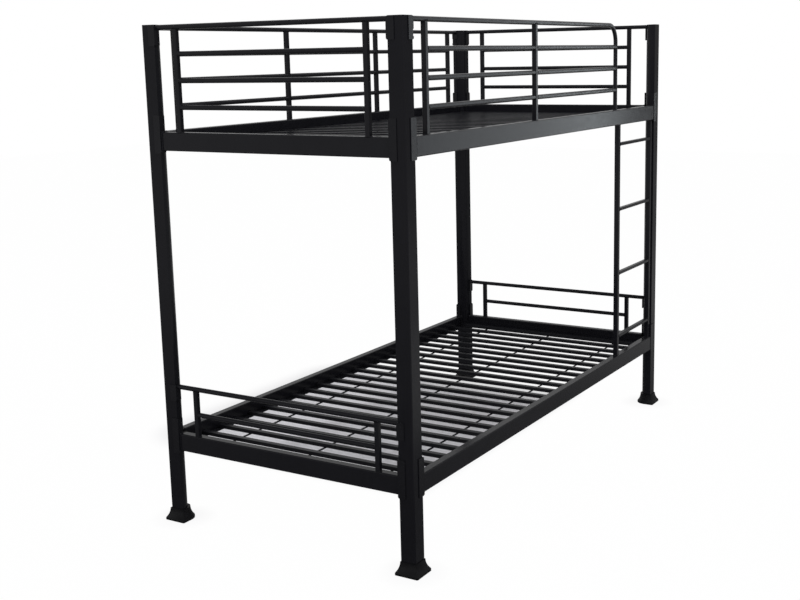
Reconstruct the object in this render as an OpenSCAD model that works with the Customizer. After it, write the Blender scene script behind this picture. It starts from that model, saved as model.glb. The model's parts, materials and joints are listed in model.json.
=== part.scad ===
// Steel bunk bed with a fixed ladder, for two 1900 x 900 mattresses.
// Frame: origin on the floor in the middle of the bed, +X towards the ladder end, -Y the ladder side, +Z up.
// Four quadrant-section posts stand in flared feet. Every rail and guard ends in a formed bracket, whose cheek
// laps over the post's flat side and whose end plate lies against a socket block on the post's round side.

/* [Overall] */
// Length over the posts
bed_l = 2044; // [1990:1:2200]
// Width over the posts
bed_w = 980; // [940:1:1100]
// Height of the top of the post caps
bed_h = 1657; // [1600:1:1800]
// Underside of the lower rails above the floor
lower_rail_z = 250; // [220:1:320]
// Underside of the upper rails above the floor
upper_rail_z = 1259; // [1200:1:1320]

/* [Posts and feet] */
// Side of the post section
post_side = 51; // [49:1:60]
// Radius of the rounded inner side of the post
post_arc = 45; // [35:1:47]
// Radius of the post's outer corner
post_corner = 5; // [3.5:0.5:8]
// Wall of the post
post_wall = 1.5; // [1:0.5:3]
// Thickness of the post caps
cap_t = 1; // [0.8:0.1:4]
// How far the foot spreads past the post
foot_spread = 16; // [8:0.5:25]
// How far the foot stands out from the post at its top
foot_step = 2.5; // [1:0.5:5]
// Height of the foot
foot_h = 41; // [30:1:60]
// Upright rim at the bottom of the foot
foot_rim = 6; // [2:0.5:8]
// Radius of the foot's rim at its corners
foot_rim_r = 5; // [2:0.5:8]
// Radius of the foot's inner corner at its top
foot_corner = 31; // [15:0.5:38]

/* [Rails] */
// Height of every rail
rail_h = 60; // [50:1:70]
// Width of every rail
rail_w = 30; // [25:1:34]
// Wall of every rail
rail_wall = 1.2; // [1:0.1:2.5]
// Edge radius of every rail
rail_r = 4; // [3:0.5:6]
// How far an end rail sits in from the post's outer face
end_recess = 4; // [1:1:10]
// How far a side rail stands out from the post's outer face
side_proud = 1; // [0:0.5:2]

/* [Guards] */
// Diameter of the guard bars
bar_d = 16; // [12:0.5:18]
// Side of the square guard uprights
upright_s = 16; // [12:0.5:18]
// Wall of guard bars and uprights
bar_wall = 1; // [0.8:0.1:2]
// How far below the middle of its top bar an upright ends
upright_sink = 6; // [5:0.5:7]
// Bars in the upper guards below the top one
guard_bars = 3; // [2:1:4]
// Middle of the lowest upper guard bar above its rail
guard_low = 78.5; // [60:0.5:95]
// Middle of the lower guards' top bar above its rail
low_guard_top = 162; // [140:1:190]
// Middle of the lower guards' lower bar above its rail
low_guard_mid = 75; // [50:1:100]
// Middle of an end upright from the post
end_upright_gap = 80; // [50:1:120]
// Middle of the front guard's first upright from the post
front_upright_gap = 87; // [50:1:120]
// Middle of the back guard's outer uprights from the posts
back_upright_gap = 79; // [50:1:120]
// Bend radius of the front guard's end
guard_bend = 65; // [45:1:90]
// Middle of the front guard's bent end from the middle of the ladder's upright
guard_to_ladder = 30; // [25:1:80]

/* [Ladder] */
// Width over the ladder's uprights
ladder_w = 377; // [320:1:420]
// Side of the ladder's square uprights
ladder_s = 19; // [16:0.5:20]
// Wall of the ladder's tubes
ladder_wall = 1.2; // [1:0.1:2]
// Gap between the ladder and the bracket next to it
ladder_clear = 0.5; // [0.5:0.5:20]
// Height of the middle of the lowest rung above the lower rail
rung_first = 80; // [60:1:100]
// Spacing of the rungs
rung_pitch = 263.5; // [250:0.5:280]
// Height of a rung's section
rung_h = 12; // [10:0.5:16]

/* [Mattress bases] */
// Number of slats in a base
slats = 24; // [16:2:30]
// Middle of the first and last slat from the end rails
slat_end = 31; // [18:0.5:60]
// Width of a slat
slat_w = 20; // [15:1:30]
// Thickness of a slat
slat_t = 13; // [6:0.5:16]
// Wall of a slat
slat_wall = 0.8; // [0.8:0.1:1.5]
// Top of the slats above the underside of the rails
slat_top = 27; // [20:1:40]
// Gap between a slat and the side rail at each end
slat_clear = 2; // [1:0.5:5]
// Diameter of the tie wires under the slats
wire_d = 6; // [3:0.5:7]
// Outer tie wires from the side rails
wire_inset = 141; // [60:1:250]
// Width of the ledges that carry the slats
ledge_w = 22; // [15:1:30]
// Thickness of the ledges
ledge_t = 3; // [2:0.5:5]

/* [Brackets] */
// Height of a rail bracket
bracket_h = 122; // [90:1:130]
// How far a rail bracket reaches below its rail
bracket_drop = 8; // [4:1:15]
// Height of an upper guard bracket
top_bracket_h = 66; // [40:1:80]
// Height of a lower guard bracket
low_bracket_h = 56; // [40:1:65]
// Thickness of the cheek over the post's flat side
cheek_t = 2.5; // [2:0.5:4]
// How far the cheek laps over the post
cheek_lap = 23; // [15:1:28]
// Radius of the cheek's outer corners
cheek_r = 6; // [3:0.5:10]
// How far an end plate stops short of its cheek's top and bottom
plate_cut = 2; // [0:0.5:8]
// End plate of the end frames' brackets, between post and frame
end_plate = 4; // [3.5:0.5:8]
// Depth of the end frames' plates above the rails
end_plate_depth = 21; // [18:0.5:30]
// End plate of the side rails' brackets
side_plate = 7; // [5:0.5:12]
// Depth of the side rails' plates above the rails
side_plate_depth = 18; // [12:0.5:28]
// End plate of the side guards' brackets
guard_plate = 3.5; // [3.5:0.5:8]
// Height of the notch in a side guard's bracket
guard_notch = 20; // [10:1:25]
// Height of the lug under that notch
guard_lug = 9; // [7:0.5:12]
// Width of the socket blocks behind the end plates
socket_w = 14; // [8:1:18]
// Socket blocks from the top and bottom of what they stand behind
socket_inset = 12; // [8:1:18]

/* [Hidden] */
$fn = 48;

steel = "#222226";
plastic = "#17171a";

// Heights
post_top = bed_h - cap_t;
lower_rail_top = lower_rail_z + rail_h;
upper_rail_top = upper_rail_z + rail_h;
top_bar_z = post_top - bar_d / 2;
guard_pitch = (top_bar_z - upper_rail_top - guard_low) / guard_bars;
low_bar_z = lower_rail_top + low_guard_top;
low_mid_z = lower_rail_top + low_guard_mid;

// Post and foot: the foot's flare is upright at its top and reaches foot_spread at the rim
arc_centre = post_side - post_arc;
flare_h = foot_h - foot_rim;
flare_d = foot_spread - foot_step;
flare_r = (flare_d * flare_d + flare_h * flare_h) / (2 * flare_d);
flare_at = foot_step + flare_r;
foot_centre = post_side + foot_step - foot_corner;

// End frames: rail, bars and uprights are flush outside
end_x = bed_l / 2 - end_recess;
end_rail_x = end_x - rail_w / 2;
end_bar_x = end_x - bar_d / 2;
end_l = bed_w - 2 * (post_side + end_plate);
end_upright_y = bed_w / 2 - post_side - end_upright_gap;

// Side frames: bars and uprights stand on the middle of the rail
side_y = bed_w / 2 + side_proud - rail_w / 2;
side_rail_l = bed_l - 2 * (post_side + side_plate);
side_bar_l = bed_l - 2 * (post_side + guard_plate);
front_upright_x = bed_l / 2 - post_side - front_upright_gap;
back_upright_x = bed_l / 2 - post_side - back_upright_gap;

// Clear room between the rails
inner_x = end_x - rail_w;
inner_y = side_y - rail_w / 2;

// Ladder
ladder_right_x = side_rail_l / 2 - ladder_clear - ladder_s / 2;
ladder_left_x = ladder_right_x - ladder_w + ladder_s;
ladder_l = upper_rail_z - lower_rail_top;

// Uprights of the side guards, evenly spaced between the outer ones
guard_end_x = ladder_left_x - guard_to_ladder;
front_mid_x = (guard_end_x - front_upright_x) / 2;
front_uprights_x = [-front_upright_x, front_mid_x];
back_uprights_x = [-back_upright_x, -back_upright_x / 3, back_upright_x / 3, back_upright_x];

// Slats
slat_pitch = 2 * (inner_x - slat_end) / (slats - 1);
slat_l = 2 * (inner_y - slat_clear);

// ---- shapes ----

// A rectangle with round corners, centred
module round_rect(w, h, r) {
    square([w - 2 * r, h], center = true);
    square([w, h - 2 * r], center = true);
    for (sx = [-1, 1], sy = [-1, 1])
        translate([sx * (w / 2 - r), sy * (h / 2 - r)]) circle(r);
}

// Rectangular tube along Z, centred
module box_tube(l, w, h, r, t) {
    linear_extrude(l, center = true) difference() {
        round_rect(w, h, r);
        round_rect(w - 2 * t, h - 2 * t, max(r - t, 0.4));
    }
}

// Round tube along Z, centred
module round_tube(l, d, t) {
    difference() {
        cylinder(d = d, h = l, center = true);
        cylinder(d = d - 2 * t, h = l + 2, center = true);
    }
}

// Turns a Z shape to lie along X or Y; its section's Y becomes Z
module along_x() { rotate([90, 0, 90]) children(); }
module along_y() { rotate([90, 0, 0]) children(); }

// Puts a shape made at a corner, with +X and +Y inwards from the post's outer edge, at one of the corners
module at_corner(sx, sy) {
    translate([sx * bed_l / 2, sy * bed_w / 2, 0])
        mirror([sx > 0 ? 1 : 0, 0, 0]) mirror([0, sy > 0 ? 1 : 0, 0]) children();
}

// Swaps the corner's X and Y, to turn an end-frame piece into a side-frame piece
module swap_xy() { mirror([1, -1, 0]) children(); }

// Quadrant section: two flat outer sides and a quarter-round inner side
module quadrant(side, arc, corner) {
    centre = side - arc;
    intersection() {
        union() {
            translate([corner, 0]) square([side - corner, side]);
            translate([0, corner]) square([side, side - corner]);
            translate([corner, corner]) circle(corner);
        }
        union() {
            square([side, centre]);
            square([centre, side]);
            translate([centre, centre]) circle(arc, $fn = 96);
        }
    }
}

// ---- posts, caps, feet and sockets ----

module post(sx, sy) {
    color(steel) at_corner(sx, sy) translate([0, 0, foot_h])
        linear_extrude(post_top - foot_h) difference() {
            quadrant(post_side, post_arc, post_corner);
            translate([post_wall, post_wall])
                quadrant(post_side - 2 * post_wall, post_arc - post_wall, post_corner - post_wall);
        }
}

module post_caps() {
    color(plastic) for (sx = [-1, 1], sy = [-1, 1])
        at_corner(sx, sy) translate([0, 0, post_top])
            linear_extrude(cap_t) quadrant(post_side, post_arc, post_corner);
}

// One foot: a block cut by a cylinder along each side, so that it flares out from its top to its rim, and by
// the same flare turned about the inner corner
module foot(sx, sy) {
    reach = post_side + 2 * foot_spread;
    color(plastic) at_corner(sx, sy) intersection() {
        difference() {
            translate([post_side / 2, post_side / 2, 0])
                linear_extrude(foot_h) round_rect(reach, reach, foot_rim_r);
            for (side = [-flare_at, post_side + flare_at]) {
                translate([side, 0, foot_h]) along_y()
                    cylinder(r = flare_r, h = 3 * reach, center = true, $fn = 96);
                translate([0, side, foot_h]) along_x()
                    cylinder(r = flare_r, h = 3 * reach, center = true, $fn = 96);
            }
        }
        union() {
            translate([-reach, -reach, -1]) cube([reach + foot_centre, 3 * reach, foot_h + 2]);
            translate([-reach, -reach, -1]) cube([3 * reach, reach + foot_centre, foot_h + 2]);
            translate([foot_centre, foot_centre, 0]) rotate_extrude($fn = 96) difference() {
                square([foot_corner + flare_d, foot_h]);
                translate([foot_corner + flare_r, foot_h]) circle(flare_r);
            }
        }
    }
}

// Block between the post's round side and the inner part of an end plate of the given depth
module socket(z, h, depth) {
    difference() {
        translate([depth - socket_w, arc_centre, z + socket_inset])
            cube([socket_w, post_arc, h - 2 * socket_inset]);
        translate([arc_centre, arc_centre, z]) cylinder(r = post_arc, h = h, $fn = 96);
    }
}

module sockets(sx, sy) {
    color(steel) at_corner(sx, sy) for (z = [lower_rail_z, upper_rail_z]) {
        socket(z, rail_h, end_recess + rail_w);
        swap_xy() socket(z, rail_h, rail_w - side_proud);
    }
}

// ---- brackets ----

// Bracket of an end frame: a cheek over the post's outer face, and an end plate across its inner edge
module bracket(z, h, plate, depth) {
    w = cheek_lap + plate;
    translate([-cheek_t, post_side - cheek_lap, z]) along_x() linear_extrude(cheek_t) {
        square([w - cheek_r, h]);
        translate([0, cheek_r]) square([w, h - 2 * cheek_r]);
        for (end = [cheek_r, h - cheek_r]) translate([w - cheek_r, end]) circle(cheek_r);
    }
    translate([0, post_side, z + plate_cut]) cube([depth, plate, h - 2 * plate_cut]);
}

// A tall bracket at a rail's end: where it meets the rail, its plate is as deep as the rail
module rail_bracket(rail_z, plate, depth, full_depth) {
    bracket(rail_z - bracket_drop, bracket_h, plate, depth);
    translate([0, post_side, rail_z]) cube([full_depth, plate, rail_h]);
}

// Brackets of an end frame: a tall one at each rail end and a short one at each end of its top bar
module end_brackets(sx, rail_z, bar_z, short_h) {
    color(steel) for (sy = [-1, 1]) at_corner(sx, sy) {
        rail_bracket(rail_z, end_plate, end_plate_depth, end_recess + rail_w);
        bracket(bar_z + bar_d / 2 - short_h, short_h, end_plate, end_plate_depth);
    }
}

module side_rail_bracket(sx, sy, rail_z) {
    color(steel) at_corner(sx, sy) swap_xy()
        rail_bracket(rail_z, side_plate, side_plate_depth, rail_w - side_proud);
}

// A side guard's bracket is notched beside the post, which leaves a lug at its foot
module side_guard_bracket(sx, sy) {
    color(steel) at_corner(sx, sy) swap_xy() difference() {
        bracket(post_top - top_bracket_h, top_bracket_h, guard_plate, (rail_w + bar_d) / 2 - side_proud);
        translate([-cheek_t - 1, post_side, post_top - top_bracket_h + guard_lug])
            cube([cheek_t + rail_w + 2, guard_plate + 1, guard_notch]);
    }
}

// ---- end frames ----

module end_rail(sx, z) {
    color(steel) translate([sx * end_rail_x, 0, z + rail_h / 2])
        along_y() box_tube(end_l, rail_w, rail_h, rail_r, rail_wall);
}

module end_bar(sx, z, l) {
    color(steel) translate([sx * end_bar_x, 0, z]) along_y() round_tube(l, bar_d, bar_wall);
}

module end_inner_bar(sx, z) {
    end_bar(sx, z, 2 * end_upright_y - upright_s);
}

// A guard upright from a rail to its top bar, coped to fit under the bar, which runs at the given turn about Z
module upright(x, y, rail_top, bar_z, turn) {
    l = bar_z - upright_sink - rail_top;
    color(steel) translate([x, y, rail_top]) difference() {
        translate([0, 0, l / 2]) box_tube(l, upright_s, upright_s, 2, bar_wall);
        translate([0, 0, bar_z - rail_top]) rotate([90, 0, turn])
            cylinder(d = bar_d, h = 2 * upright_s, center = true);
    }
}

module end_uprights(sx, rail_top, bar_z) {
    for (sy = [-1, 1]) upright(sx * end_bar_x, sy * end_upright_y, rail_top, bar_z, 0);
}

// ---- side frames ----

module side_rail(sy, z) {
    color(steel) translate([0, sy * side_y, z + rail_h / 2])
        along_x() box_tube(side_rail_l, rail_w, rail_h, rail_r, rail_wall);
}

// A bar between two places along a side frame
module side_bar(sy, z, x0, x1) {
    color(steel) translate([(x0 + x1) / 2, sy * side_y, z])
        along_x() round_tube(x1 - x0, bar_d, bar_wall);
}

// Guard bars from one upright to the next, by their middles
module side_bay(sy, x0, x1) {
    for (i = [1:guard_bars])
        side_bar(sy, top_bar_z - i * guard_pitch, x0 + upright_s / 2, x1 - upright_s / 2);
}

// The front guard's last bay, coped round the bent tube's leg
module front_last_bay() {
    difference() {
        for (i = [1:guard_bars])
            side_bar(-1, top_bar_z - i * guard_pitch, front_mid_x + upright_s / 2, guard_end_x);
        translate([guard_end_x, -side_y, upper_rail_top]) cylinder(d = bar_d, h = top_bar_z - upper_rail_top);
    }
}

module side_uprights(sy, places) {
    for (x = places) upright(x, sy * side_y, upper_rail_top, top_bar_z, 90);
}

// The front guard's top tube runs from the left post, bends down and stands on the rail beside the ladder.
// Its three lengths are placed from the bend's centre
module front_guard_tube() {
    run = guard_end_x - guard_bend + side_bar_l / 2;
    leg = top_bar_z - guard_bend - upper_rail_top;
    color(steel) translate([guard_end_x - guard_bend, -side_y, top_bar_z - guard_bend]) {
        translate([-run / 2, 0, guard_bend]) along_x() round_tube(run, bar_d, bar_wall);
        translate([guard_bend, 0, -leg / 2]) round_tube(leg, bar_d, bar_wall);
        along_y() rotate_extrude(angle = 90, $fn = 96) translate([guard_bend, 0]) difference() {
            circle(d = bar_d, $fn = 48);
            circle(d = bar_d - 2 * bar_wall, $fn = 48);
        }
    }
}

// ---- ladder ----

module ladder_upright(x) {
    color(steel) translate([x, -side_y, lower_rail_top + ladder_l / 2])
        box_tube(ladder_l, ladder_s, ladder_s, 2.5, ladder_wall);
}

module rung(n) {
    color(steel)
        translate([(ladder_left_x + ladder_right_x) / 2, -side_y,
                   lower_rail_top + rung_first + (n - 1) * rung_pitch])
        along_x() box_tube(ladder_w - 2 * ladder_s, ladder_s, rung_h, 3, ladder_wall);
}

// ---- mattress bases ----

module slat_row(rail_z) {
    color(steel) for (k = [0:slats - 1])
        translate([(k - (slats - 1) / 2) * slat_pitch, 0, rail_z + slat_top - slat_t / 2])
            along_y() box_tube(slat_l, slat_w, slat_t, 1.5, slat_wall);
}

module tie_wires(rail_z) {
    wire_y = inner_y - wire_inset;
    color(steel) for (y = [-wire_y, 0, wire_y])
        translate([0, y, rail_z + slat_top - slat_t - wire_d / 2])
            along_x() cylinder(d = wire_d, h = (slats - 1) * slat_pitch + slat_w, center = true, $fn = 16);
}

module ledges(rail_z) {
    color(steel) for (sy = [-1, 1])
        translate([0, sy * (inner_y - ledge_w / 2), rail_z + slat_top - slat_t - ledge_t / 2])
            cube([side_rail_l, ledge_w, ledge_t], center = true);
}

// ---- nodes ----

post(-1, -1);  // post_front_left
post(1, -1);  // post_front_right
post(-1, 1);  // post_back_left
post(1, 1);  // post_back_right
foot(-1, -1);  // foot_front_left
foot(1, -1);  // foot_front_right
foot(-1, 1);  // foot_back_left
foot(1, 1);  // foot_back_right
post_caps();
sockets(-1, -1);  // sockets_front_left
sockets(1, -1);  // sockets_front_right
sockets(-1, 1);  // sockets_back_left
sockets(1, 1);  // sockets_back_right

end_rail(-1, upper_rail_z);  // upper_left_rail
end_bar(-1, top_bar_z, end_l);  // upper_left_top_bar
for (i = [1:guard_bars]) end_inner_bar(-1, top_bar_z - i * guard_pitch);  // upper_left_bars
end_uprights(-1, upper_rail_top, top_bar_z);  // upper_left_uprights
end_brackets(-1, upper_rail_z, top_bar_z, top_bracket_h);  // upper_left_brackets

end_rail(1, upper_rail_z);  // upper_right_rail
end_bar(1, top_bar_z, end_l);  // upper_right_top_bar
for (i = [1:guard_bars]) end_inner_bar(1, top_bar_z - i * guard_pitch);  // upper_right_bars
end_uprights(1, upper_rail_top, top_bar_z);  // upper_right_uprights
end_brackets(1, upper_rail_z, top_bar_z, top_bracket_h);  // upper_right_brackets

side_rail(1, upper_rail_z);  // upper_back_rail
side_bar(1, top_bar_z, -side_bar_l / 2, side_bar_l / 2);  // upper_back_top_bar
for (k = [0:2]) side_bay(1, back_uprights_x[k], back_uprights_x[k + 1]);  // upper_back_bars
side_uprights(1, back_uprights_x);  // upper_back_uprights
union() {  // upper_back_brackets
    for (sx = [-1, 1]) side_rail_bracket(sx, 1, upper_rail_z);
    for (sx = [-1, 1]) side_guard_bracket(sx, 1);
}

side_rail(-1, upper_rail_z);  // upper_front_rail
front_guard_tube();  // upper_front_guard_tube
union() {  // upper_front_bars
    side_bay(-1, -front_upright_x, front_mid_x);
    front_last_bay();
}
side_uprights(-1, front_uprights_x);  // upper_front_uprights
union() {  // upper_front_brackets
    for (sx = [-1, 1]) side_rail_bracket(sx, -1, upper_rail_z);
    side_guard_bracket(-1, -1);
}

end_rail(-1, lower_rail_z);  // lower_left_rail
end_bar(-1, low_bar_z, end_l);  // lower_left_top_bar
end_inner_bar(-1, low_mid_z);  // lower_left_mid_bar
end_uprights(-1, lower_rail_top, low_bar_z);  // lower_left_uprights
end_brackets(-1, lower_rail_z, low_bar_z, low_bracket_h);  // lower_left_brackets

end_rail(1, lower_rail_z);  // lower_right_rail
end_bar(1, low_bar_z, end_l);  // lower_right_top_bar
end_inner_bar(1, low_mid_z);  // lower_right_mid_bar
end_uprights(1, lower_rail_top, low_bar_z);  // lower_right_uprights
end_brackets(1, lower_rail_z, low_bar_z, low_bracket_h);  // lower_right_brackets

side_rail(1, lower_rail_z);  // lower_back_rail
for (sx = [-1, 1]) side_rail_bracket(sx, 1, lower_rail_z);  // lower_back_brackets
side_rail(-1, lower_rail_z);  // lower_front_rail
for (sx = [-1, 1]) side_rail_bracket(sx, -1, lower_rail_z);  // lower_front_brackets

ladder_upright(ladder_left_x);  // ladder_left_upright
ladder_upright(ladder_right_x);  // ladder_right_upright
rung(1);  // rung_1
rung(2);  // rung_2
rung(3);  // rung_3
rung(4);  // rung_4

slat_row(upper_rail_z);  // upper_slats
tie_wires(upper_rail_z);  // upper_tie_wires
ledges(upper_rail_z);  // upper_ledges
slat_row(lower_rail_z);  // lower_slats
tie_wires(lower_rail_z);  // lower_tie_wires
ledges(lower_rail_z);  // lower_ledges
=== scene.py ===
"""Looks of the steel bunk bed with a ladder: paint, weld beads, floor, light and camera. Metres."""
import json
import math

import bpy
from mathutils import Matrix, Vector


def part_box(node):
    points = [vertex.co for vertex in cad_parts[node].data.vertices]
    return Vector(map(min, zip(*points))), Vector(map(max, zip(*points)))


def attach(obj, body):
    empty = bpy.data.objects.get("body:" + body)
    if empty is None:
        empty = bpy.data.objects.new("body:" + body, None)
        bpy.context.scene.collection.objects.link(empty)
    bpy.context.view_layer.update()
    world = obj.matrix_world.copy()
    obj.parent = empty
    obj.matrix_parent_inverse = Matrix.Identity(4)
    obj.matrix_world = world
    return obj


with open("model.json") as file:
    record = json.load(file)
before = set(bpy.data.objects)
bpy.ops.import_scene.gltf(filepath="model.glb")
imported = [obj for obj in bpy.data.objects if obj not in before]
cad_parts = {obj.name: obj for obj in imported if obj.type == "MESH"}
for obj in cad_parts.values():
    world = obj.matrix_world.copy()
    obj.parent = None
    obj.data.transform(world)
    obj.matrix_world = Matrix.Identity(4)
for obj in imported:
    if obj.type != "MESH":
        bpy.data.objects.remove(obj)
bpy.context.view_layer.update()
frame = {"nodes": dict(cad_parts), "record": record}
nodes = frame["nodes"]
scene = bpy.context.scene

X, Y, Z = Vector((1, 0, 0)), Vector((0, 1, 0)), Vector((0, 0, 1))


# ---- camera ----

CAMERA_PLACE = (-3.8033, -2.2404, 1.5424)
# turned from +Y towards +X, down, and about the line of sight
YAW, PITCH, ROLL = math.radians(59.448), math.radians(10.281), math.radians(-1.0895)


def camera():
    forward = Vector((math.sin(YAW) * math.cos(PITCH), math.cos(YAW) * math.cos(PITCH),
                      -math.sin(PITCH)))
    level = Vector((math.cos(YAW), -math.sin(YAW), 0))
    upward = level.cross(forward)
    right = math.cos(ROLL) * level + math.sin(ROLL) * upward
    up = -math.sin(ROLL) * level + math.cos(ROLL) * upward
    data = bpy.data.cameras.new("camera")
    data.sensor_fit = "HORIZONTAL"
    data.sensor_width = 36
    data.lens = 52.466
    data.shift_x = -0.05138
    data.shift_y = -0.04056
    obj = bpy.data.objects.new("camera", data)
    turn = Matrix((right, up, -forward)).transposed().to_4x4()
    obj.matrix_world = Matrix.Translation(CAMERA_PLACE) @ turn
    scene.collection.objects.link(obj)
    scene.camera = obj


camera()


# ---- materials ----

class Nodes:
    """Short calls for building a node tree, from empty."""

    def __init__(self, tree):
        self.tree = tree
        tree.nodes.clear()

    def add(self, kind, inputs=None, **props):
        node = self.tree.nodes.new(kind)
        for name, value in props.items():
            setattr(node, name, value)
        for name, value in (inputs or {}).items():
            if isinstance(value, bpy.types.NodeSocket):
                self.tree.links.new(value, node.inputs[name])
            else:
                node.inputs[name].default_value = value
        return node

    def place(self):
        return self.add("ShaderNodeNewGeometry").outputs["Position"]

    def noise(self, place, scale, detail, **inputs):
        return self.add("ShaderNodeTexNoise", {
            "Vector": place, "Scale": scale, "Detail": detail, **inputs}).outputs["Fac"]

    def blend(self, factor, low, high):
        """A colour between low and high."""
        node = self.add("ShaderNodeMix", {"Factor": factor}, data_type="RGBA")
        node.inputs["A"].default_value = (*low, 1)
        node.inputs["B"].default_value = (*high, 1)
        return node.outputs["Result"]

    def ramp(self, value, low, high, at_low, at_high, smooth=False):
        """Goes from at_low to at_high as value goes from low to high, and holds at both ends."""
        return self.add("ShaderNodeMapRange", {
            "Value": value, "From Min": low, "From Max": high, "To Min": at_low, "To Max": at_high,
        }, interpolation_type="SMOOTHSTEP" if smooth else "LINEAR").outputs["Result"]

    def math(self, operation, *values):
        node = self.add("ShaderNodeMath", dict(enumerate(values)), operation=operation)
        return node.outputs["Value"]

    def vector(self, operation, *values, output="Vector"):
        node = self.add("ShaderNodeVectorMath", dict(enumerate(values)), operation=operation)
        return node.outputs[output]

    def axes(self, vector):
        return self.add("ShaderNodeSeparateXYZ", {0: vector}).outputs


def material(name):
    mat = bpy.data.materials.new(name)
    mat.use_nodes = True
    return mat, Nodes(mat.node_tree)


def finish(name, low, high, rough, ior, grain, bump, cloud=14.0):
    """A black finish: cloudy colour between low and high, roughness between the two given, and a
    fine grain. grain is the size of the bumps in metres."""
    mat, n = material(name)
    place = n.place()
    colour = n.blend(n.noise(place, cloud, 4.0, Roughness=0.55), low, high)
    roughness = n.ramp(n.noise(place, 55.0, 3.0, Roughness=0.6), 0.3, 0.7, *rough)
    peel = n.noise(place, 1 / grain, 2.0, Roughness=0.5)
    height = n.add("ShaderNodeBump", {"Height": peel, "Strength": bump, "Distance": grain * 0.35})
    shader = n.add("ShaderNodeBsdfPrincipled", {
        "Base Color": colour, "Roughness": roughness, "Normal": height.outputs["Normal"],
        "IOR": ior})
    n.add("ShaderNodeOutputMaterial", {"Surface": shader.outputs["BSDF"]})
    return mat


FRAME_BLACK = (0.0064, 0.0064, 0.0082), (0.0094, 0.0094, 0.0118)
PLASTIC_BLACK = (0.0034, 0.0034, 0.0042), (0.0054, 0.0054, 0.0066)
MATERIALS = {
    "frame_paint": finish("frame_paint_coat", *FRAME_BLACK, (0.15, 0.25), 1.20, 0.0011, 0.05),
    # painted shade: the posts carry the frame's own paint; this copy of it shines a little less, so
    # that the
    #     posts render darker than the rest of the frame
    "post_paint": finish("post_paint_coat", *FRAME_BLACK, (0.15, 0.25), 1.165, 0.0011, 0.05),
    "bracket_paint": finish("bracket_paint_coat", (0.0060, 0.0060, 0.0076),
                            (0.0090, 0.0090, 0.0112), (0.19, 0.30), 1.20, 0.0012, 0.08),
    "base_paint": finish("base_paint_coat", (0.0076, 0.0077, 0.0096),
                         (0.0110, 0.0112, 0.0138), (0.26, 0.38), 1.21, 0.0012, 0.10),
    "foot_plastic": finish("foot_moulded_plastic", *PLASTIC_BLACK, (0.40, 0.52), 1.21, 0.0006,
                           0.30, 24.0),
    "cap_plastic": finish("cap_moulded_plastic", *PLASTIC_BLACK, (0.40, 0.52), 1.21, 0.0006,
                          0.30, 24.0),
}

# Edge radius of the plates, feet and caps. The tubes have round corners of their own.
EDGED = ("brackets", "sockets", "foot", "caps", "ledges")
EDGE = {"bracket_paint": 0.0009, "base_paint": 0.0005, "foot_plastic": 0.0016,
        "cap_plastic": 0.0003}

slot_of = {s["node"]: s["material_slot"] for s in frame["record"]["subparts"]}
for name, obj in nodes.items():
    slot = slot_of[name]
    # the posts get the duller copy of the frame's paint, a painted shade
    paint = "post_paint" if name.startswith("post_") and slot == "frame_paint" else slot
    for s in obj.material_slots:
        s.link = "OBJECT"
        s.material = MATERIALS[paint]
    if not any(word in name for word in EDGED):
        continue
    weld = obj.modifiers.new("weld", "WELD")
    weld.merge_threshold = 0.00002
    bevel = obj.modifiers.new("edges", "BEVEL")
    bevel.width = EDGE[slot]
    bevel.segments = 2
    bevel.limit_method = "ANGLE"
    bevel.angle_limit = math.radians(32)
    bevel.use_clamp_overlap = True
    bevel.harden_normals = True


# ---- weld beads ----

GUARD_BARS = 3          # in each bay of the upper guards, below the top bar
BAR = 0.008             # radius of the guard bars
UPRIGHT = 0.016         # side of the guard uprights
SLATS = 24              # in each mattress base
SLAT_HALF = 0.010       # half of a slat's width
LEDGE_HALF = 0.011      # half of a ledge's width

# corner radii of the tubes
RAIL_ROUND, UPRIGHT_ROUND, LADDER_ROUND, RUNG_ROUND = 0.004, 0.002, 0.0025, 0.003

BEAD = 0.0016           # radius of the beads on bars and uprights, and of the tacks on the ledges
RAIL_BEAD = 0.0021      # of those on the rails
TOP_BEAD = BEAD * 0.85  # of those on the top bars' ends, which stay below the posts' caps
WIRE_BEAD = 0.0012      # of the tacks on the tie wires
TACK = 0.012            # length of a tack
SUNK, RAIL_SUNK, TOP_SUNK = 0.0002, 0.0003, 0.0008   # how far a bead's middle lies in the tube
RIPPLE = 0.0022         # distance between the points of a bead along a flat
SIDES = 8               # of a bead's section


def corners(name):
    low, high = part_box(name)
    return Vector(low), Vector(high)


def spread(low, high, count):
    """Evenly spaced values from low to high, or their middle where there is one."""
    if count == 1:
        return [(low + high) / 2]
    return [low + (high - low) * i / (count - 1) for i in range(count)]


def rounded(w, h, r):
    """Points and outward directions round a rectangle with round corners."""
    out = []
    for cx, cy, start in ((w / 2 - r, h / 2 - r, 0), (-w / 2 + r, h / 2 - r, 90),
                          (-w / 2 + r, -h / 2 + r, 180), (w / 2 - r, -h / 2 + r, 270)):
        for k in range(5):
            a = math.radians(start + 22.5 * k)
            d = (math.cos(a), math.sin(a))
            out.append(((cx + r * d[0], cy + r * d[1]), d))
    # extra points along the flats, so that the ripple shows there too
    path = []
    for i, (p, d) in enumerate(out):
        q, e = out[(i + 1) % len(out)]
        steps = max(1, round(math.dist(p, q) / RIPPLE))
        for s in range(steps):
            t = s / steps
            path.append(((p[0] + t * (q[0] - p[0]), p[1] + t * (q[1] - p[1])),
                         (d[0] + t * (e[0] - d[0]), d[1] + t * (e[1] - d[1]))))
    return path


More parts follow.
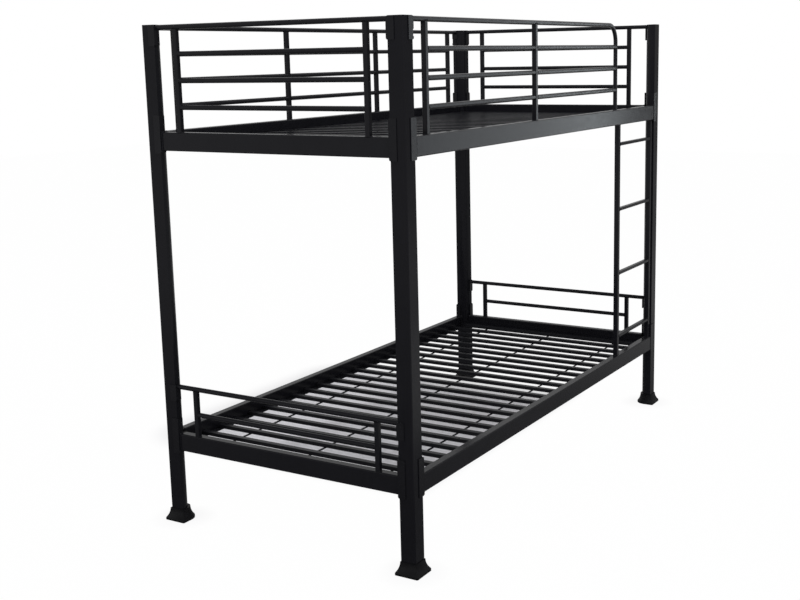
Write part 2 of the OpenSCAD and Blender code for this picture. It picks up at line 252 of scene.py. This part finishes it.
class Beads:
    """One mesh of weld beads."""

    def __init__(self, name, slot="frame_paint"):
        self.name, self.slot, self.verts, self.faces, self.seed = name, slot, [], [], 0

    def ring(self, centre, size, out, side):
        """One ring of points; out and side span its plane."""
        for k in range(SIDES):
            a = 2 * math.pi * k / SIDES
            self.verts.append(centre + size * (math.cos(a) * out + math.sin(a) * side))

    def skin(self, a, b):
        """Faces between the ring that starts at point a and the one that starts at b."""
        for k in range(SIDES):
            m = (k + 1) % SIDES
            self.faces.append((a + k, a + m, b + m, b + k))

    def sweep(self, path, size):
        """A bead along a closed path of (point, outward) pairs, rippled as a welder's stitches
        are."""
        first, count = len(self.verts), len(path)
        self.seed += 1
        for i, (p, out) in enumerate(path):
            ahead = (path[(i + 1) % count][0] - path[i - 1][0]).normalized()
            swell = size * (1 + 0.13 * math.cos(i * 2.09 + self.seed)
                            + 0.07 * math.sin(i * 0.71 + 3.1 * self.seed))
            self.ring(p, swell, out, ahead.cross(out).normalized())
        for i in range(count):
            self.skin(first + i * SIDES, first + (i + 1) % count * SIDES)

    def round(self, centre, axis, radius, size, saddle=0.0):
        """Round a tube of this radius, where it meets a flat face across axis, or a tube along Z
        whose radius is saddle."""
        u = Z if abs(axis.z) < 0.9 else X
        u = (u - axis * u.dot(axis)).normalized()
        v = axis.cross(u)
        points = 36
        path = []
        for i in range(points):
            a = 2 * math.pi * i / points
            out = math.cos(a) * u + math.sin(a) * v
            p = centre + radius * out
            if saddle:
                p = p - axis * math.sqrt(max(saddle ** 2 - (radius * out.y) ** 2, 0))
            path.append((p, out))
        self.sweep(path, size)

    def square(self, centre, axis, u, w, h, r, size, saddle=0.0):
        """Round a tube w by h, w along u, with corner radius r, where it meets a flat face across
        axis, or a tube along u whose radius is saddle."""
        v = axis.cross(u)
        path = []
        for p, out in rounded(w, h, r):
            point = centre + p[0] * u + p[1] * v
            if saddle:
                point = point - axis * math.sqrt(max(saddle ** 2 - p[1] ** 2, 0))
            path.append((point, (out[0] * u + out[1] * v).normalized()))
        self.sweep(path, size)

    def spot(self, centre, along, out, size):
        """A short tack along a direction: a flattened lens of metal."""
        side = along.cross(out)
        first, rings = len(self.verts), 7
        self.seed += 1
        for i in range(rings):
            t = -1 + 2 * i / (rings - 1)
            swell = size * math.sqrt(max(1 - t * t, 0.04))
            swell *= 1 + 0.1 * math.sin(2.3 * i + self.seed)
            self.ring(centre + along * (t * TACK / 2), swell, out, side)
        for i in range(rings - 1):
            self.skin(first + i * SIDES, first + (i + 1) * SIDES)
        self.faces.append(tuple(first + k for k in reversed(range(SIDES))))
        self.faces.append(tuple(first + (rings - 1) * SIDES + k for k in range(SIDES)))

    def make(self):
        mesh = bpy.data.meshes.new(self.name)
        mesh.from_pydata([tuple(v) for v in self.verts], [], self.faces)
        mesh.polygons.foreach_set("use_smooth", [True] * len(mesh.polygons))
        mesh.materials.append(MATERIALS[self.slot])
        mesh.update()
        obj = bpy.data.objects.new(self.name, mesh)
        scene.collection.objects.link(obj)
        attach(obj, "root")


def rail_welds(beads, rail):
    """A bead round each end of a rectangular rail, against its bracket."""
    low, high = corners(rail)
    mid = (low + high) / 2
    axis, u = (X, Y) if high.y - low.y < high.x - low.x else (Y, X)
    w, h = (high - low).dot(u), high.z - low.z
    for s in (-1, 1):
        end = mid + axis * s * ((high - low).dot(axis) / 2 - 0.0004)
        beads.square(end, axis, u, w - 2 * RAIL_SUNK, h - 2 * RAIL_SUNK, RAIL_ROUND, RAIL_BEAD)


def upright_welds(beads, x, y, rail_top, bar, along):
    """Beads at an upright's foot, on the rail, and at its top, under a bar that runs along."""
    beads.square(Vector((x, y, rail_top)), Z, X, UPRIGHT, UPRIGHT, UPRIGHT_ROUND, BEAD)
    side = UPRIGHT - 2 * SUNK
    beads.square(Vector((x, y, bar)), Z, along, side, side, UPRIGHT_ROUND, BEAD, saddle=BAR)


def end_frame(level, side, bars, count):
    """An end guard with this many bars below its top bar."""
    name = level + "_" + side
    beads = Beads(name + "_welds")
    rail_welds(beads, name + "_rail")
    _, rail_high = corners(name + "_rail")
    low, high = corners(name + "_top_bar")
    top = (low + high) / 2
    for s in (-1, 1):
        beads.round(Vector((top.x, high.y * s, top.z)), Y, BAR - TOP_SUNK, TOP_BEAD)
    low, high = corners(bars)
    for z in spread(low.z + BAR, high.z - BAR, count):
        for s in (-1, 1):
            beads.round(Vector((top.x, high.y * s, z)), Y, BAR - SUNK, BEAD)
    low, high = corners(name + "_uprights")
    for y in (low.y + UPRIGHT / 2, high.y - UPRIGHT / 2):
        upright_welds(beads, top.x, y, rail_high.z, top.z, Y)
    beads.make()


def side_frame(side, top_bar, places, leg=None):
    """A side guard with uprights at these places along X. leg is the place of the bent tube's
    end, which its last bars meet."""
    name = "upper_" + side
    beads = Beads(name + "_welds")
    rail_welds(beads, name + "_rail")
    _, rail_high = corners(name + "_rail")
    low, high = corners(top_bar)
    y, top = (low.y + high.y) / 2, high.z - BAR
    beads.round(Vector((low.x, y, top)), X, BAR - TOP_SUNK, TOP_BEAD)
    if leg is None:
        beads.round(Vector((high.x, y, top)), X, BAR - TOP_SUNK, TOP_BEAD)
    else:
        beads.round(Vector((leg, y, rail_high.z)), Z, BAR - SUNK, BEAD)
    low, high = corners(name + "_bars")
    ends = places + ([leg] if leg is not None else [])
    for z in spread(low.z + BAR, high.z - BAR, GUARD_BARS):
        for a, b in zip(ends, ends[1:]):
            beads.round(Vector((a + UPRIGHT / 2, y, z)), X, BAR - SUNK, BEAD)
            if b == leg:
                beads.round(Vector((b, y, z)), X, BAR - SUNK, BEAD, saddle=BAR)
            else:
                beads.round(Vector((b - UPRIGHT / 2, y, z)), X, BAR - SUNK, BEAD)
    for x in places:
        upright_welds(beads, x, y, rail_high.z, top, X)
    beads.make()


def ladder():
    """Its uprights to both rails and its rungs to the uprights."""
    beads = Beads("ladder_welds")
    for name in ("ladder_left_upright", "ladder_right_upright"):
        low, high = corners(name)
        mid = (low + high) / 2
        side = high.x - low.x
        for z in (low.z, high.z):
            beads.square(Vector((mid.x, mid.y, z)), Z, X, side, side, LADDER_ROUND, BEAD)
    for i in range(1, 5):
        low, high = corners("rung_%d" % i)
        mid = (low + high) / 2
        for x in (low.x, high.x):
            beads.square(Vector((x, mid.y, mid.z)), X, Y, high.y - low.y, high.z - low.z,
                         RUNG_ROUND, BEAD)
    beads.make()


def base(level):
    """Tacks where each slat crosses a tie wire and where it lies on the ledges."""
    beads = Beads(level + "_base_welds", "base_paint")
    slat_low, slat_high = corners(level + "_slats")
    wire_low, wire_high = corners(level + "_tie_wires")
    _, ledge_high = corners(level + "_ledges")
    wire = (wire_high.z - wire_low.z) / 2
    for x in spread(slat_low.x + SLAT_HALF, slat_high.x - SLAT_HALF, SLATS):
        for y in (wire_low.y + wire, 0, wire_high.y - wire):
            for s in (-1, 1):
                beads.spot(Vector((x, y + s * wire * 0.9, wire_high.z - 0.0003)), X, Y * s,
                           WIRE_BEAD)
        for sy in (-1, 1):
            for sx in (-1, 1):
                beads.spot(Vector((x + sx * SLAT_HALF, sy * (ledge_high.y - LEDGE_HALF),
                                   slat_low.z + SUNK)), Y, X * sx, BEAD)
    beads.make()


end_frame("upper", "left", "upper_left_bars", GUARD_BARS)
end_frame("upper", "right", "upper_right_bars", GUARD_BARS)
end_frame("lower", "left", "lower_left_mid_bar", 1)
end_frame("lower", "right", "lower_right_mid_bar", 1)
low, high = corners("upper_back_uprights")
side_frame("back", "upper_back_top_bar", spread(low.x + UPRIGHT / 2, high.x - UPRIGHT / 2, 4))
low, high = corners("upper_front_uprights")
_, tube_high = corners("upper_front_guard_tube")
side_frame("front", "upper_front_guard_tube", [low.x + UPRIGHT / 2, high.x - UPRIGHT / 2],
           leg=tube_high.x - BAR)
for side in ("back", "front"):
    beads = Beads("lower_%s_welds" % side)
    rail_welds(beads, "lower_%s_rail" % side)
    beads.make()
ladder()
base("upper")
base("lower")


# ---- floor ----

# The floor is white, apart from a painted shade for the bed: a rectangle round this middle, of this
# half size, that fades out over this distance, and earlier at the front. In it the floor's white
# glow is taken away, so that the matte floor shows darker there, together with the real shadow that
# falls on it
SHADE_MIDDLE, SHADE_HALF, SHADE_FADE = (0.27, 0.50, 0.0), (0.47, 0.49, 0.0), 0.32
SHADE_FRONT = (-0.19, 0.0)
FOOT = (0.9965, 0.4645, 0.0)     # each foot's place, in its own corner
WHITE = 0.99                     # how far the floor is plain white outside the shade


def white_share(n, place):
    """How far the floor is plain white, from 0 to 1: least in the painted shade under the bed, and
    a little less round each foot, a painted contact shade.
    """
    beyond = n.vector("ABSOLUTE", n.vector("SUBTRACT", place, SHADE_MIDDLE))
    beyond = n.vector("MAXIMUM", n.vector("SUBTRACT", beyond, SHADE_HALF), (0.0, 0.0, 0.0))
    beyond = n.vector("LENGTH", beyond, output="Value")
    # painted shade: the rectangle under the bed, where the floor's white glow fades almost away
    around = n.ramp(beyond, 0.0, SHADE_FADE, 0.05, WHITE, smooth=True)
    front = n.ramp(n.axes(place)["Y"], *SHADE_FRONT, WHITE, 0.0, smooth=True)
    away = n.vector("DISTANCE", n.vector("ABSOLUTE", place), FOOT, output="Value")
    # painted shade: a little less white round each foot, so the floor darkens there
    foot = n.ramp(away, 0.04, 0.12, 0.90, 1.0)
    return n.math("MULTIPLY", n.math("MAXIMUM", around, front), foot)


def shine(n, place):
    """The floor's light in the paint's shine, painted by place: a painted shade beside the bed,
    where the floor shows grey, white further out and grey again beyond the ladder, with a painted
    lit patch before the near end that shows as a painted reflection in the near post's front."""
    axes = n.axes(place)
    x, y = axes["X"], axes["Y"]
    # painted shade in reflections: the floor's glow is grey near the bed and brightens outwards
    glow = n.ramp(n.vector("LENGTH", place, output="Value"), 1.2, 5.5, 0.24, 1.0)
    glow = n.math("MULTIPLY", glow, n.ramp(x, 3.0, 5.5, 1.0, 0.4))
    # painted light: a lit patch on the floor before the near end, seen only in reflections
    patch = n.math("MULTIPLY", n.ramp(y, -1.35, -0.95, 0.95, 0.0), n.ramp(x, 1.6, 2.8, 1.0, 0.0))
    return n.math("MAXIMUM", glow, patch)


def floor():
    mat, n = material("studio_floor")
    place = n.place()
    path = n.add("ShaderNodeLightPath").outputs
    seen = n.math("MAXIMUM", path["Is Camera Ray"], path["Is Transmission Ray"])
    seen = n.math("MULTIPLY", seen, white_share(n, place))
    share = n.math("MAXIMUM", seen, path["Is Glossy Ray"])
    # strength 1, and the shine's own for glossy rays
    glow = n.math("SUBTRACT", shine(n, place), 1.0)
    glow = n.math("MULTIPLY_ADD", path["Is Glossy Ray"], glow, 1.0)
    colour = n.blend(n.noise(place, 3.0, 3.0), (0.81, 0.80, 0.84), (0.84, 0.83, 0.87))
    matte = n.add("ShaderNodeBsdfDiffuse", {"Color": colour, "Roughness": 0.6})
    white = n.add("ShaderNodeEmission", {"Color": (1, 1, 1, 1), "Strength": glow})
    mix = n.add("ShaderNodeMixShader", {0: share, 1: matte.outputs["BSDF"],
                                        2: white.outputs["Emission"]})
    n.add("ShaderNodeOutputMaterial", {"Surface": mix.outputs["Shader"]})
    mesh = bpy.data.meshes.new("floor")
    half = 14.0
    mesh.from_pydata([(-half, -half, 0), (half, -half, 0), (half, half, 0), (-half, half, 0)], [],
                     [(0, 1, 2, 3)])
    mesh.materials.append(mat)
    obj = bpy.data.objects.new("floor", mesh)
    scene.collection.objects.link(obj)


floor()


# ---- surroundings and lamps ----

# Grey walls that only the paint's shine shows: the direction of each, how near a ray comes to it
# (as a cosine) where it starts and where it is darkest, and how dark it gets there
WALLS = (((1.0, 0.0, 0.0), 0.45, 0.80, 0.50), ((0.86, -0.51, 0.0), 0.82, 0.97, 0.45))


def surroundings():
    """A white studio with a dark ceiling and, in the paint's shine, grey walls beyond the
    ladder."""
    world = bpy.data.worlds.new("studio")
    world.use_nodes = True
    n = Nodes(world.node_tree)
    path = n.add("ShaderNodeLightPath").outputs
    seen = n.math("MAXIMUM", path["Is Camera Ray"], path["Is Glossy Ray"])
    seen = n.math("MAXIMUM", seen, path["Is Transmission Ray"])
    strength = n.ramp(seen, 0.0, 1.0, 0.75, 1.0)
    toward = n.add("ShaderNodeTexCoord").outputs["Generated"]
    height = n.axes(toward)["Z"]
    ceiling = n.ramp(height, 0.40, 0.80, 1.0, 0.18, smooth=True)
    wall = 1.0
    for direction, start, end, dark in WALLS:
        facing = n.vector("DOT_PRODUCT", toward, direction, output="Value")
        wall = n.math("MULTIPLY", wall, n.ramp(facing, start, end, 1.0, 1 - dark, smooth=True))
    wall = n.ramp(height, 0.22, 0.42, wall, 1.0)
    wall = n.ramp(path["Is Glossy Ray"], 0.0, 1.0, 1.0, wall)
    shade = n.math("MULTIPLY", ceiling, wall)
    sky = n.add("ShaderNodeBackground", {"Color": shade, "Strength": strength})
    n.add("ShaderNodeOutputWorld", {"Surface": sky.outputs["Background"]})
    scene.world = world


def area(name, place, target, size, power, height=None, colour=(1, 1, 1)):
    data = bpy.data.lights.new(name, "AREA")
    data.shape = "RECTANGLE"
    data.size, data.size_y = size, height or size
    data.energy = power
    data.color = colour
    obj = bpy.data.objects.new(name, data)
    obj.location = place
    aim = Vector(target) - Vector(place)
    obj.rotation_euler = aim.to_track_quat("-Z", "Y").to_euler()
    scene.collection.objects.link(obj)
    return obj


def lamps():
    area("key", (-1.6, -1.6, 4.5), (0.0, 0.0, 0.6), 1.4, 75)
    area("top", (-0.4, 0.4, 4.4), (0.0, 0.0, 0.5), 4.5, 55)
    # two tall strips that only skim the upper front rail and the guard above it
    strips = (area("side", (3.42, -2.64, 1.60), (-0.15, -0.49, 1.42), 1.56, 27, 3.0,
                   (0.94, 1.0, 1.04)),
              area("far side", (3.74, -1.93, 1.60), (0.42, -0.49, 1.42), 0.16, 7.5, 3.0,
                   (0.92, 1.0, 1.04)))
    front = bpy.data.collections.new("front")
    for name, obj in nodes.items():
        if name.startswith("upper_front"):
            front.objects.link(obj)
    for strip in strips:
        strip.light_linking.receiver_collection = front


surroundings()
lamps()
scene.view_settings.view_transform = "Standard"
